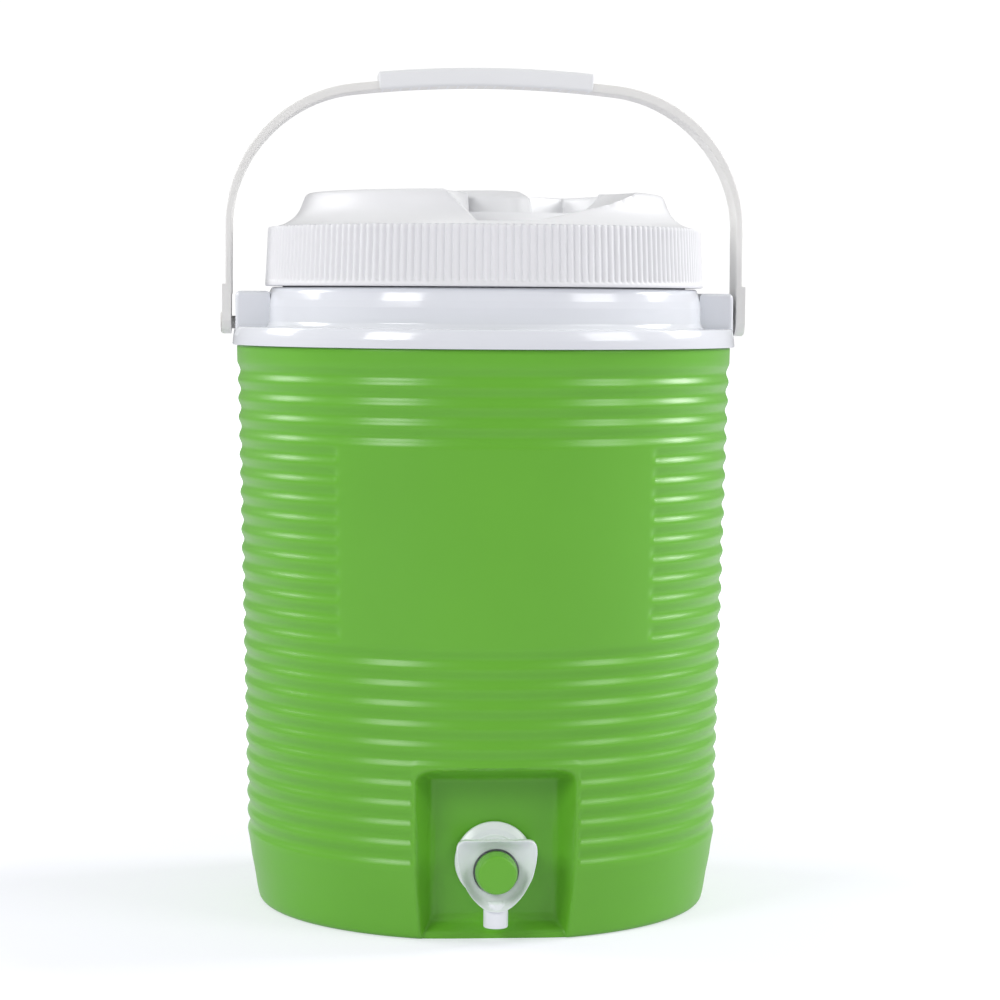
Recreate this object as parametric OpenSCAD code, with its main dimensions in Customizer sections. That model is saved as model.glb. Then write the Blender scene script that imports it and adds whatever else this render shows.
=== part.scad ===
// Insulated water jug: ribbed outer shell, foam, inner liner, screw lid, bail handle and push-button tap.
// Millimetres, Z up, origin at the middle of the foot plane, tap towards -Y.

/* [Body] */
// Mean radius of the shell 32 mm above the floor
body_r = 115.5; // [100:0.1:130]
// Widening of the mean radius per millimetre of height
body_taper = 0.0258; // [0:0.0001:0.05]
// Top edge of the outer shell
body_top = 275; // [200:0.5:320]
// Number of moulded rings
ring_count = 26; // [10:1:40]
// Height between neighbouring rings
ring_pitch = 9.3; // [6:0.1:14]
// Height of the top ring
ring_top = 267; // [200:0.5:300]
// Crest height of a ring above the mean surface
ring_amp = 0.7; // [0.2:0.05:1.5]
// Wall of the outer shell
shell_wall = 2.5; // [1.5:0.1:4]

/* [Front panel] */
// Half angle of the smooth panel
panel_half = 37.2; // [20:0.1:50]
// Lower edge of the panel
panel_lo = 136.1; // [100:0.1:160]
// Upper edge of the panel
panel_hi = 230.5; // [200:0.1:250]

/* [Tap recess] */
// Half width of the recess where it meets the shell
recess_half = 37; // [25:0.5:45]
// Half width of the flat back wall
recess_back = 29.5; // [20:0.5:40]
// Distance of the back wall in front of the axis
recess_y = 95; // [90:0.5:105]
// Top edge of the recess
recess_top = 81.5; // [60:0.5:100]
// Height of the sill
recess_sill = 3; // [2:0.5:6]

/* [Liner] */
// Outer radius of the liner at its floor
liner_r0 = 91; // [80:0.5:95]
// Outer radius of the liner at its neck
liner_r1 = 95.6; // [85:0.1:98]
// Wall of the liner
liner_wall = 2.6; // [1.5:0.1:4]
// Height of the liner's inside floor
liner_floor = 17; // [12:0.5:30]

/* [Collar] */
// Outer radius at the lower edge of the skirt
collar_r = 124.7; // [118:0.1:130]
// Outer radius of the smooth neck
neck_r = 107.8; // [100:0.1:115]
// Height of the ledge
ledge_z = 284; // [278:0.5:290]
// Height of the shoulder below the lid
neck_z = 303.4; // [295:0.1:310]
// Outer radius of the threaded mouth
mouth_r = 100; // [95:0.1:105]
// Top of the threaded mouth
mouth_z = 328; // [315:0.5:335]
// Reach of the handle lugs on each side
lug_x = 123; // [118:0.5:124]
// Half width of a lug
lug_half = 17; // [10:0.5:22]

/* [Thread] */
// Rise of the lid in one turn
thread_lead = 24; // [12:1:36]
// Number of thread starts
thread_starts = 4; // [1:1:6]

/* [Lid] */
// Outer radius at the lower edge of the lid
lid_r = 108.7; // [105:0.1:115]
// Lower edge of the lid
lid_z = 304; // [300:0.5:310]
// Depth of the band that carries the grip ribs
rib_depth = 0.5; // [0.2:0.1:1]
// Floor of the finger wells
well_z = 335; // [334:0.1:345]
// Top of the lid
lid_top = 350; // [345:0.5:360]
// Radius of the central stopper
hub_r = 25; // [18:0.5:30]

/* [Handle] */
// Height of the pivot axis
pivot_z = 286; // [285.5:0.1:290]
// Outer face of a handle leg
leg_x = 128.1; // [127.6:0.1:129]
// Width of the strap
strap_w = 22; // [15:0.5:30]
// Top of the bare strap
strap_top = 407.6; // [406:0.1:420]
// Thickness of the legs
strap_t = 3.3; // [2.5:0.1:3.3]
// Thickness of the strap under the grip
crown_t = 4.4; // [3.3:0.1:4.6]
// Half length of the grip
grip_half = 53; // [40:1:56]
// Height of the grip above the strap
grip_h = 4.6; // [3:0.1:6]
// Radius of the pivot pins
pin_r = 3.2; // [2.5:0.1:3.5]

/* [Tap] */
// Height of the tap barrel
tap_z = 35; // [25:0.5:50]
// Radius of the flange
flange_r = 17.4; // [14:0.1:20]
// Height of the push button
button_z = 34; // [25:0.5:40]
// Radius of the push button
button_r = 11.2; // [8:0.1:13]

/* [Hidden] */
$fn = 96;
gap = 0.3;
green = [0.27, 0.55, 0.10];
white = [0.88, 0.89, 0.90];
soft = [0.85, 0.85, 0.82];
rubber = [0.75, 0.76, 0.78];
function mean_r(z) = body_r + (z - 32) * body_taper;
function ring_z(k) = ring_top - ring_pitch * k;
ring_low = ring_z(ring_count - 1);
ring_steps = 8;
function ring_r(z) = mean_r(z) + ring_amp * cos(360 * (z - ring_top) / ring_pitch);
function pol(r, a) = [r * sin(a), -r * cos(a)];
function arc(cx, cy, r, a0, a1, n) = [for (i = [0 : n]) let (a = a0 + (a1 - a0) * i / n)
    [cx + r * cos(a), cy + r * sin(a)]];

// ---------------------------------------------------------------- shared shapes

// One flight of a helical ridge: section is [radius, height] pairs, anticlockwise outward.
module flight(section, a0, sweep, lead, steps) {
    m = len(section);
    pts = [for (i = [0 : steps]) let (a = sweep * i / steps) for (p = section)
        [p[0] * cos(a0 + a), p[0] * sin(a0 + a), p[1] + lead * a / 360]];
    sides = [for (i = [0 : steps - 1]) for (j = [0 : m - 1]) for (h = [0, 1]) let (k = (j + 1) % m)
        h == 0 ? [i * m + j, (i + 1) * m + j, (i + 1) * m + k] : [i * m + j, (i + 1) * m + k, i * m + k]];
    polyhedron(points = pts, faces = concat(sides,
        [[for (j = [0 : m - 1]) j]], [[for (j = [m - 1 : -1 : 0]) steps * m + j]]), convexity = 8);
}

// A box with its lower middle at the origin of its plan.
module block(size) { translate([-size[0] / 2, -size[1] / 2, 0]) cube(size); }

// Cylinder along +Y from y0 to y1 at height z.
module rod_y(r, y0, y1, z = 0, r2 = -1) {
    translate([0, y0, z]) rotate([-90, 0, 0])
        cylinder(r1 = r, r2 = r2 < 0 ? r : r2, h = y1 - y0);
}

// ---------------------------------------------------------------- body

ring_profile = [for (i = [0 : (ring_count - 1) * ring_steps])
    let (z = ring_low + ring_pitch * i / ring_steps) [ring_r(z), z]];

module shell_solid() {
    rotate_extrude() polygon(concat(
        [[0, 0], [107.5, 0], [109.7, 1], [111.5, 7], [112.7, 14.5], [114.2, 22], [115.3, 30]],
        ring_profile,
        [[mean_r(body_top) - 0.1, 271], [mean_r(body_top) - 0.1, body_top - 0.6],
         [mean_r(body_top) - 0.7, body_top], [120.5, body_top], [120.5, 279.4], [0, 279.4]]));
}

// Space inside the shell, smaller all round by g.
module shell_space(g = 0) {
    rotate_extrude() polygon([[0, 7 + g], [102.6 - g / 2, 7 + g], [107.8 - g, 12], [111.2 - g, 24],
        [mean_r(34) - 3.2 - g, 34], [mean_r(272) - 3.2 - g, 272], [mean_r(272) - 3.2 - g, 290], [0, 290]]);
}

// The recess, grown by g on its back, top and sides.
module recess_space(g = 0, floor_z = 3) {
    k = (recess_half - recess_back) / 14.5;
    s = g * sqrt(1 + k * k);
    xb = recess_back - k * g + s;
    xo = recess_back + k * (135 - recess_y) + s;
    f = 4 + g * 0.4;
    r = 4 + g;
    intersection() {
        translate([0, 0, floor_z]) linear_extrude(recess_top + g - floor_z)
            polygon(concat([[-xo, -135], [xo, -135]],
                [for (i = [0 : 6]) let (t = i / 6, a = [xb + k * f, -recess_y + g - f],
                    b = [xb, -recess_y + g], c = [xb - f, -recess_y + g])
                    a * (1 - t) * (1 - t) + b * 2 * t * (1 - t) + c * t * t],
                [for (i = [0 : 6]) let (t = i / 6, a = [f - xb, -recess_y + g],
                    b = [-xb, -recess_y + g], c = [-xb - k * f, -recess_y + g - f])
                    a * (1 - t) * (1 - t) + b * 2 * t * (1 - t) + c * t * t]));
        translate([0, -60, 0]) rotate([90, 0, 0]) linear_extrude(90)
            polygon(concat([[-60, -2], [60, -2]],
                [[60, recess_top + g - 5]],
                arc(recess_half + g - r + 0.5, recess_top + g - r, r, 0, 90, 6),
                arc(-recess_half - g + r - 0.5, recess_top + g - r, r, 90, 180, 6),
                [[-60, recess_top + g - 5]]));
    }
}

module outer_shell() color(green) difference() {
    whole_shell();
    translate([0, 0, -10]) cylinder(r = 130, h = 17);
}

module shell_base() color(green) intersection() {
    whole_shell();
    translate([0, 0, -10]) cylinder(r = 130, h = 17);
}

module whole_shell() {
    difference() {
        shell_solid();
        difference() {
            shell_space();
            recess_space(shell_wall, -1);
        }
        recess_space(0, recess_sill);
        translate([-60, -140, -1]) cube([120, 38, recess_sill + 2]);
        difference() {
            translate([0, 0, -1]) cylinder(r = 100, h = 5);
            translate([-44, -120, -2]) cube([88, 34, 8]);
        }
        translate([0, 0, 3]) cylinder(r = 10, h = 6);
        rod_y(9.3, -100, -85, tap_z);
    }
    rotate([0, 0, -90 - panel_half]) rotate_extrude(angle = 2 * panel_half)
        polygon([[mean_r(panel_lo) - 1.4, panel_lo], [mean_r(panel_lo) + ring_amp + 0.1, panel_lo],
                 [mean_r(panel_hi) + ring_amp + 0.1, panel_hi], [mean_r(panel_hi) - 1.4, panel_hi]]);
}

module foam_fill_plug() color(green) rotate_extrude()
    polygon([[0, 2], [12.4, 2], [13.6, 2.6], [14, 4], [9.95, 4], [9.95, 7], [10.3, 7.05],
             [9.2, 9], [7, 9], [7, 4.5], [0, 4.5]]);

module insulation_foam() color([0.93, 0.86, 0.62]) difference() {
    union() {
        shell_space(gap);
        translate([0, 0, 280]) cylinder(r = neck_r - 3.2, h = 20);
    }
    liner_solid(gap);
    recess_space(shell_wall + gap, -1);
    difference() {
        translate([0, 0, 280.9]) cylinder(r = 130, h = 30);
        cylinder(r = neck_r - 3.2, h = 300);
    }
    translate([0, 0, 300]) cylinder(r = 130, h = 10);
    cylinder(r = 10.8, h = 9.6);
    rod_y(18.3, -100, -80, tap_z);
}

// Outside of the liner, grown by g.
module liner_solid(g = 0) {
    rotate_extrude() polygon([[0, liner_floor - liner_wall - g],
        [liner_r0 - 10 + g / 2, liner_floor - liner_wall - g],
        [liner_r0 - 5 + g, liner_floor - 1.4 - g], [liner_r0 - 1.4 + g, liner_floor + 2 - g],
        [liner_r0 + g, liner_floor + 8], [liner_r1 + g, 300], [liner_r1 + g, mouth_z + 2],
        [0, mouth_z + 2]]);
}

module inner_liner() color(white) difference() {
    whole_liner();
    cylinder(r = 130, h = liner_floor);
}

module liner_floor_plate() color(white) intersection() {
    whole_liner();
    cylinder(r = 130, h = liner_floor);
}

module whole_liner() difference() {
    union() {
        liner_solid();
        rod_y(18, -92.3, -80, tap_z);
        rotate_extrude() polygon([[90, mouth_z], [99.2, mouth_z], [99.6, mouth_z + 0.5],
            [99.6, mouth_z + 1.5], [99.1, mouth_z + 2], [90, mouth_z + 2]]);
    }
    rotate_extrude() polygon([[0, liner_floor], [liner_r0 - 11, liner_floor],
        [liner_r0 - 6.4, liner_floor + 1.2], [liner_r0 - 3.6, liner_floor + 3.6],
        [liner_r0 - liner_wall, liner_floor + 9], [liner_r1 - liner_wall, 300],
        [liner_r1 - liner_wall, mouth_z + 1], [liner_r1 - liner_wall + 0.8, mouth_z + 3], [0, mouth_z + 3]]);
    rod_y(17, -88.5, -70, tap_z);
    rod_y(9.3, -100, -80, tap_z);
}

// ---------------------------------------------------------------- collar

neck_section = [[mouth_r - 0.2, -1.1], [mouth_r + 1.9, -0.7], [mouth_r + 1.9, 0.7], [mouth_r - 0.2, 1.1]];

// Inner end of the pivot pins.
pin_x = 114;

module pin_holes() for (s = [-1, 1]) translate([s * (pin_x - 0.1), 0, pivot_z])
    rotate([0, s * 90, 0]) cylinder(r = pin_r + 0.02, h = 14);

module handle_lugs() color(white) difference() {
    for (side = [-1, 1]) difference() {
        translate([side * (lug_x + 99) / 2, 0, ledge_z]) block([lug_x - 99, 2 * lug_half, 17.5]);
        for (s = [-1, 1]) translate([side * lug_x, s * lug_half, ledge_z - 1])
            rotate([0, 0, 45]) block([5, 5, 24]);
        translate([side * lug_x, 0, ledge_z + 17.5]) rotate([0, 45, 0])
            translate([-2, -30, -2]) cube([4, 60, 4]);
    }
    translate([0, 0, ledge_z - 5]) cylinder(r = neck_r, h = 40);
    pin_holes();
}

// Skirt and ledge of the collar.
module collar() color(white) difference() {
    rotate_extrude() polygon([[120.8, body_top], [collar_r, body_top],
        [collar_r - 0.1, 277], [collar_r - 0.8, 282.8], [collar_r - 1.4, 283.8], [collar_r - 2.2, ledge_z],
        [neck_r - 2.9, ledge_z], [neck_r - 2.9, 281.2], [120.8, 281.2]]);
    pin_holes();
}

// Smooth neck and threaded mouth of the collar.
module collar_neck() color(white) rotate_extrude() polygon([[neck_r - 2.9, ledge_z], [neck_r, ledge_z],
    [neck_r, 300.4], [neck_r - 0.6, 302.2], [neck_r - 2.2, 303.2], [neck_r - 4, neck_z],
    [mouth_r, neck_z], [mouth_r, mouth_z - 0.6], [mouth_r - 0.6, mouth_z], [96, mouth_z],
    [96, 300.4], [neck_r - 2.9, 300.4]]);

module collar_thread() color(white)
    for (i = [0 : thread_starts - 1])
        translate([0, 0, 309]) flight(neck_section, i * 360 / thread_starts, 150, thread_lead, 30);

module pivot_pin(side) {
    translate([side * pin_x, 0, pivot_z]) rotate([0, side * 90, 0]) rotate_extrude()
        polygon([[0, 0], [pin_r, 0], [pin_r, 15.9], [5.3, 15.9], [5.3, 16.2], [4.7, 16.7], [0, 16.9]]);
}
module pivot_pin_left() color(white) pivot_pin(-1);
module pivot_pin_right() color(white) pivot_pin(1);

// ---------------------------------------------------------------- handle

// Pivot ears: middle, radius and thickness.
ear_x = 127.45;
ear_z = 290.5;
ear_r = 10.5;
ear_t = 4.5;
corner_r = 70.5;
corner_z = 333.8;
corner_cx = leg_x - corner_r;
// Radius of the crown arc that meets the corner arcs and the strap's top.
crown_h = strap_top - corner_z;
crown_r = (corner_cx * corner_cx + crown_h * crown_h - corner_r * corner_r) / (2 * (crown_h - corner_r));
crown_z = strap_top - crown_r;
crown_a = atan2(corner_z - crown_z, corner_cx);

// Outline of the strap at depth d below its outer face, right half, from the leg to the top.
function half_outline(d0, d1, x_end = 0) = concat(
    [[leg_x - d0, 296], [leg_x - d0, corner_z]],
    [for (i = [1 : 16]) let (a = crown_a * i / 16, d = d0 + (d1 - d0) * i / 16)
        [corner_cx + (corner_r - d) * cos(a), corner_z + (corner_r - d) * sin(a)]],
    [for (i = [1 : 8]) let (a = crown_a + (90 - crown_a) * i / 8)
        [(crown_r - d1) * cos(a), crown_z + (crown_r - d1) * sin(a)]]);
function mirror_list(p) = [for (i = [len(p) - 1 : -1 : 0]) [-p[i][0], p[i][1]]];
function outline(d0, d1) = let (h = half_outline(d0, d1)) concat(h, mirror_list(h));
function backwards(p) = [for (i = [len(p) - 1 : -1 : 0]) p[i]];

module upright(w, shape) {
    translate([0, w / 2, 0]) rotate([90, 0, 0]) linear_extrude(w) polygon(shape);
}

module handle_strap() color(soft) difference() {
    union() {
        upright(strap_w, concat(outline(0, 0), backwards(outline(strap_t, crown_t))));
        for (s = [-1, 1]) {
            translate([s * ear_x, 0, ear_z]) rotate([0, 90, 0])
                cylinder(r = ear_r, h = ear_t, center = true);
            translate([s * ear_x - ear_t / 2, -ear_r, ear_z]) cube([ear_t, 2 * ear_r, 13]);
        }
    }
    for (s = [-1, 1]) translate([s * 127, 0, pivot_z]) rotate([0, 90, 0])
        cylinder(r = pin_r + 0.06, h = 12, center = true);
}

// Crown band between two depths, cut to the grip's length.
function crown_band(d0, d1, x1) = let (a1 = acos(x1 / (crown_r - d0)), n = 14)
    concat([for (i = [0 : n]) let (a = a1 + (180 - 2 * a1) * i / n)
        [(crown_r - d0) * cos(a), crown_z + (crown_r - d0) * sin(a)]],
        [for (i = [n : -1 : 0]) let (a = a1 + (180 - 2 * a1) * i / n)
        [(crown_r - d1) * cos(a), crown_z + (crown_r - d1) * sin(a)]]);

module handle_grip() color([0.86, 0.88, 0.90]) difference() {
    union() {
        upright(strap_w + 2.6, crown_band(-grip_h + 1, crown_t - 0.1, grip_half));
        upright(strap_w + 1.2, crown_band(-grip_h, crown_t - 0.1, grip_half - 1));
    }
    upright(strap_w + 0.1, crown_band(-0.1, 12, 60));
}

// ---------------------------------------------------------------- lid

function lid_skirt_r(z) = lid_r - (z - lid_z) * 0.05;
// Flank of the crown, from the skirt up to the flat top.
crown_pts = [[100.8, 334.2], [97.8, 336], [95.3, 338.4], [93.2, 341.4], [91.4, 345], [90.2, 348],
    [88.8, 349.4], [86.6, lid_top]];

// Plans of one finger well: a wide lobe that opens through the flank, and a trough round the hub.
lobe_plan = concat([for (i = [0 : 10]) pol(106, -10 + 6.8 * i)],
    [for (i = [0 : 8]) pol(58 - 2 * i, 50 - 9 * i)]);
trough_plan = concat([for (i = [0 : 14]) pol(56, -32 + 190 * i / 14)],
    [for (i = [0 : 14]) pol(hub_r - 2, 158 - 200 * i / 14)]);

module wells() {
    for (h = [0, 180]) rotate([0, 0, h]) {
        intersection() {
            translate([0, 0, well_z - 1]) linear_extrude(30) polygon(lobe_plan);
            translate([22.9, -70.4, well_z - 1]) rotate([0, 0, 14.5]) rotate([0, -19.9, 0])
                translate([-150, -150, 0]) cube([300, 300, 120]);
        }
        translate([0, 0, well_z - 1]) linear_extrude(30) polygon(trough_plan);
    }
}

lug_section = [[mouth_r + 0.5, -0.7], [104.15, -1.1], [104.15, 1.1], [mouth_r + 0.5, 0.7]];
stop_r = 18;

// Ribbed skirt of the lid.
module lid_skirt() color(white) rotate_extrude() polygon([[104, lid_z], [lid_r - 0.6, lid_z],
    [lid_r, lid_z + 0.6], [lid_skirt_r(307), 306.6], [lid_skirt_r(307) - rib_depth, 307.2],
    [lid_skirt_r(330) - rib_depth, 329.8], [lid_skirt_r(330), 330.4], [lid_skirt_r(331) - 0.3, 331.6],
    [lid_skirt_r(332) - 0.9, 332.5], [105.4, 333], [104, 333.35]]);

// Outside of the lid above its skirt, plate and crown together.
module crown_solid() rotate_extrude()
    polygon(concat([[0, 332], [104, 332], [104, 333.35]], crown_pts, [[0, lid_top]]));

// Top plate of the lid, up to the floor of the finger wells.
module lid_plate() color(white) difference() {
    crown_solid();
    translate([0, 0, well_z]) cylinder(r = 130, h = 40);
    translate([0, 0, 320]) cylinder(r = stop_r, h = 40);
}

// The two raised halves of the lid, between the finger wells.
module lid_crown() color(white) difference() {
    crown_solid();
    translate([0, 0, 320]) cylinder(r = 130, h = well_z - 320);
    wells();
    translate([0, 0, 320]) cylinder(r = hub_r + 0.6, h = 40);
}

module lid_thread() color(white)
    for (i = [0 : thread_starts - 1])
        translate([0, 0, 309 - thread_lead / thread_starts / 2 + 4])
            flight(lug_section, i * 360 / thread_starts + 60, 34, thread_lead, 10);

module lid_foam() color([0.93, 0.86, 0.62]) difference() {
    translate([0, 0, 324.6 + gap]) cylinder(r = 90, h = 7.4 - 2 * gap);
    translate([0, 0, 320]) cylinder(r = stop_r + 2.7, h = 40);
}

// Cover plate with the plug ring that goes into the mouth and the tube that holds the stopper.
module lid_inner_cover() color(white) rotate_extrude() polygon([[stop_r, 322.4], [90, 322.4],
    [92, 322.4], [92.5, 322.9], [92.5, 332], [90.3, 332], [90.3, 324.6], [stop_r + 2.4, 324.6],
    [stop_r + 2.4, 332], [stop_r, 332]]);

module lid_gasket() color(rubber) rotate_extrude()
    polygon([[93.2, 330], [99.4, 330], [100, 330.5], [100, 331.5], [99.6, 332], [93.4, 332]]);

module pour_stopper() color(white) difference() {
    rotate_extrude() polygon([[0, 323.4], [15.6, 323.4], [17.2, 324.6], [17.2, 328], [16.2, 328],
        [16.2, 330.4], [17.2, 330.4], [17.2, well_z - 0.2], [17.9, well_z + 0.2],
        [hub_r - 0.4, well_z + 0.2],
        [hub_r, well_z + 0.8], [hub_r - 0.5, 347], [hub_r - 1.3, 349.2], [hub_r - 3.2, lid_top],
        [0, lid_top]]);
    translate([0, 0, 326]) cylinder(r = 13.4, h = 21.5);
}

module stopper_seal() color(rubber) rotate_extrude()
    polygon([[16.25, 328.1], [17.6, 328.4], [17.95, 329.2], [17.6, 330], [16.25, 330.3]]);

// ---------------------------------------------------------------- tap

// Point t of the way down the dish's side, which bends in to the nozzle.
function dish_side(t, g) = [18.8 - g, 43.6] * (1 - t) * (1 - t) + [18.4 - g, 33] * 2 * t * (1 - t)
    + [6, 16.4 + g * 1.4] * t * t;

// Front outline of the dish, shrunk by g: flat top with rounded corners, sides drawn in to the nozzle.
function dish(g) = concat(
    arc(14.2, 43.6, 4.6 - g, 0, 80, 6),
    arc(-14.2, 43.6, 4.6 - g, 100, 180, 6),
    [for (i = [1 : 8]) let (p = dish_side(i / 8, g)) [-p[0], p[1]]],
    [for (i = [8 : -1 : 1]) dish_side(i / 8, g)]);

module dish_plate(g, y0, y1) {
    translate([0, y1, 0]) rotate([90, 0, 0]) linear_extrude(y1 - y0) polygon(dish(g));
}

module tap_body() color(white) difference() {
    union() {
        rod_y(15.8, -100.2, -99.2, tap_z, 17.4);
        rod_y(flange_r, -99.2, -96.5, tap_z);
        rod_y(9, -99, -77, tap_z);
        rod_y(13, -114, -99.5, button_z);
        dish_plate(0, -118, -110);
        translate([0, -111.5, 6.8]) cylinder(r = 6, h = 14);
        translate([-5.5, -111.2, 10.2]) cube([11, 11.9, 16]);
    }
    rod_y(11.5, -120, -108.5, button_z);
    difference() {
        dish_plate(1.4, -120, -113.6);
        rod_y(12.6, -121, -112, button_z);
    }
    // chamber, seat and barrel
    rod_y(8, -107, -100.5, tap_z);
    rod_y(4, -101, -97, tap_z);
    rod_y(6, -98.4, -70, tap_z);
    // stem guide
    rod_y(2.55, -120, -104, tap_z);
    // nozzle bore and the duct that feeds it
    translate([0, -111.5, 0]) cylinder(r = 4.6, h = 17.6);
    rod_y(2.9, -111.3, -102.4, 14.2);
    translate([0, -103.9, 12.6]) cylinder(r = 2.5, h = 17);
}

module tap_outer_washer() color(rubber) difference() {
    rod_y(15.4, -96.5, -95, tap_z);
    rod_y(9.3, -100, -90, tap_z);
}

module tap_inner_washer() color(rubber) difference() {
    rod_y(14, -88.5, -86.5, tap_z);
    rod_y(9.3, -90, -80, tap_z);
}

module tap_nut() color(white) difference() {
    union() {
        rod_y(14.4, -86.5, -85, tap_z);
        translate([0, -85, tap_z]) rotate([-90, 0, 0]) cylinder(r = 14.4, h = 5.5, $fn = 6);
    }
    rod_y(9.05, -90, -70, tap_z);
}

module tap_button() color(green) translate([0, -121.6, button_z]) rotate([-90, 0, 0]) rotate_extrude()
    polygon([[0, 0], [8.6, 0], [9.7, 0.4], [10.3, 1.3], [button_r, 4.2], [button_r, 8.4],
             [9.6, 8.4], [9.6, 2.6], [0, 2.6]]);

module valve_stem() color(white) union() {
    rod_y(2.5, -119, -92, tap_z);
    rod_y(5.3, -119, -117.6, tap_z);
    rod_y(4.8, -95.4, -94.2, tap_z);
}

module valve_seal() color(rubber) difference() {
    rod_y(5.2, -98.4, -95.4, tap_z);
    rod_y(2.5, -100, -90, tap_z);
}

// Radius of the spring's wire.
wire_r = 0.45;

module tap_spring() color([0.7, 0.7, 0.72]) translate([0, -108.6, tap_z]) rotate([90, 0, 0])
    flight([for (i = [0 : 5]) [4.3 + wire_r * cos(60 * i), wire_r + wire_r * sin(60 * i)]],
        0, 360 * 5, 1.6, 80);

outer_shell();
shell_base();
foam_fill_plug();
insulation_foam();
inner_liner();
liner_floor_plate();
collar();
collar_neck();
handle_lugs();
collar_thread();
pivot_pin_left();
pivot_pin_right();
handle_strap();
handle_grip();
lid_skirt();
lid_plate();
lid_crown();
lid_thread();
lid_foam();
lid_inner_cover();
lid_gasket();
pour_stopper();
stopper_seal();
tap_body();
tap_outer_washer();
tap_inner_washer();
tap_nut();
tap_button();
valve_stem();
valve_seal();
tap_spring();
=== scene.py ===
import math

import bmesh
import bpy
from mathutils import Euler, Matrix, Vector


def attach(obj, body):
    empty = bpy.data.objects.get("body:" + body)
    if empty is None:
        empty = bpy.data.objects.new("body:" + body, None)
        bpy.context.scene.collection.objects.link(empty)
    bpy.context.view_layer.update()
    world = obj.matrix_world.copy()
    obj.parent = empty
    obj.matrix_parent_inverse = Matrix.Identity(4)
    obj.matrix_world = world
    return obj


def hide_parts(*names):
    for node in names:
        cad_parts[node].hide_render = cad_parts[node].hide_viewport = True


bl_info = {
    "name": "Insulated Water Jug",
    "version": (1, 0, 0),
    "blender": (4, 5, 0),
    "location": "3D View > Sidebar > Water Jug",
    "description": "Builds the visible pieces, finishes and studio of an insulated water jug",
    "category": "Add Mesh",
}

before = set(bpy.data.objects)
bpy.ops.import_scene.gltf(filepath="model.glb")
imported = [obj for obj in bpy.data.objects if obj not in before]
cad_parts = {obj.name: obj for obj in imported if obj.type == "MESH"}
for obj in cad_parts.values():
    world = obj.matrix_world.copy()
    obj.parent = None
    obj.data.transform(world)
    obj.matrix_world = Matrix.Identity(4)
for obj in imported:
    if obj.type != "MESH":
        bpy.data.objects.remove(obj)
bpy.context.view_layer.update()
TAU = math.tau


# ------------------------------------------------------------------ settings

class WaterJugSizes(bpy.types.PropertyGroup):
    """Sizes of the moulded pieces."""
    body_radius: bpy.props.FloatProperty(
        name="Body radius", description="Mean radius of the shell 32 mm above the floor",
        default=0.1155, unit="LENGTH")
    body_taper: bpy.props.FloatProperty(
        name="Body taper", description="Widening of the radius for each unit of height",
        default=0.0258)
    ring_count: bpy.props.IntProperty(
        name="Rings", description="Number of moulded rings", default=26)
    ring_pitch: bpy.props.FloatProperty(
        name="Ring pitch", description="Height from one ring to the next",
        default=0.0093, unit="LENGTH")
    ring_top: bpy.props.FloatProperty(
        name="Top ring", description="Height of the highest ring's crest",
        default=0.267, unit="LENGTH")
    ring_height: bpy.props.FloatProperty(
        name="Ring height", description="Crest height above the mean surface",
        default=0.0007, unit="LENGTH")
    panel_angle: bpy.props.FloatProperty(
        name="Panel half angle", description="Half the angle that the smooth front panel takes",
        default=math.radians(37.2), subtype="ANGLE")
    recess_half: bpy.props.FloatProperty(
        name="Recess half width", description="Half width of the tap recess at the shell's face",
        default=0.037, unit="LENGTH")
    recess_depth: bpy.props.FloatProperty(
        name="Recess back wall", description="Distance of the recess's back wall from the axis",
        default=0.095, unit="LENGTH")
    recess_top: bpy.props.FloatProperty(
        name="Recess top", description="Height of the recess's top edge",
        default=0.0815, unit="LENGTH")
    lid_ribs: bpy.props.IntProperty(
        name="Lid ribs", description="Number of grip ribs round the lid", default=186)
    rib_depth: bpy.props.FloatProperty(
        name="Rib depth", description="Depth of the grooves between the grip ribs",
        default=0.0010, unit="LENGTH")


class WaterJugColours(bpy.types.PropertyGroup):
    """Base colours of the plastics."""
    shell: bpy.props.FloatVectorProperty(
        name="Shell green", description="Colour of the ringed shell",
        default=(0.145, 0.470, 0.030), size=3, subtype="COLOR", min=0, max=1)
    collar: bpy.props.FloatVectorProperty(
        name="Collar white", description="Colour of the glossy collar",
        default=(0.80, 0.82, 0.86), size=3, subtype="COLOR", min=0, max=1)
    lid: bpy.props.FloatVectorProperty(
        name="Lid white", description="Colour of the screw lid",
        default=(0.83, 0.835, 0.85), size=3, subtype="COLOR", min=0, max=1)
    strap: bpy.props.FloatVectorProperty(
        name="Strap white", description="Colour of the handle strap",
        default=(0.83, 0.825, 0.80), size=3, subtype="COLOR", min=0, max=1)
    grip: bpy.props.FloatVectorProperty(
        name="Grip white", description="Colour of the handle grip",
        default=(0.85, 0.86, 0.87), size=3, subtype="COLOR", min=0, max=1)
    tap: bpy.props.FloatVectorProperty(
        name="Tap white", description="Colour of the tap body",
        default=(0.92, 0.94, 0.99), size=3, subtype="COLOR", min=0, max=1)
    button: bpy.props.FloatVectorProperty(
        name="Button green", description="Colour of the push button",
        default=(0.146, 0.475, 0.032), size=3, subtype="COLOR", min=0, max=1)


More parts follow.
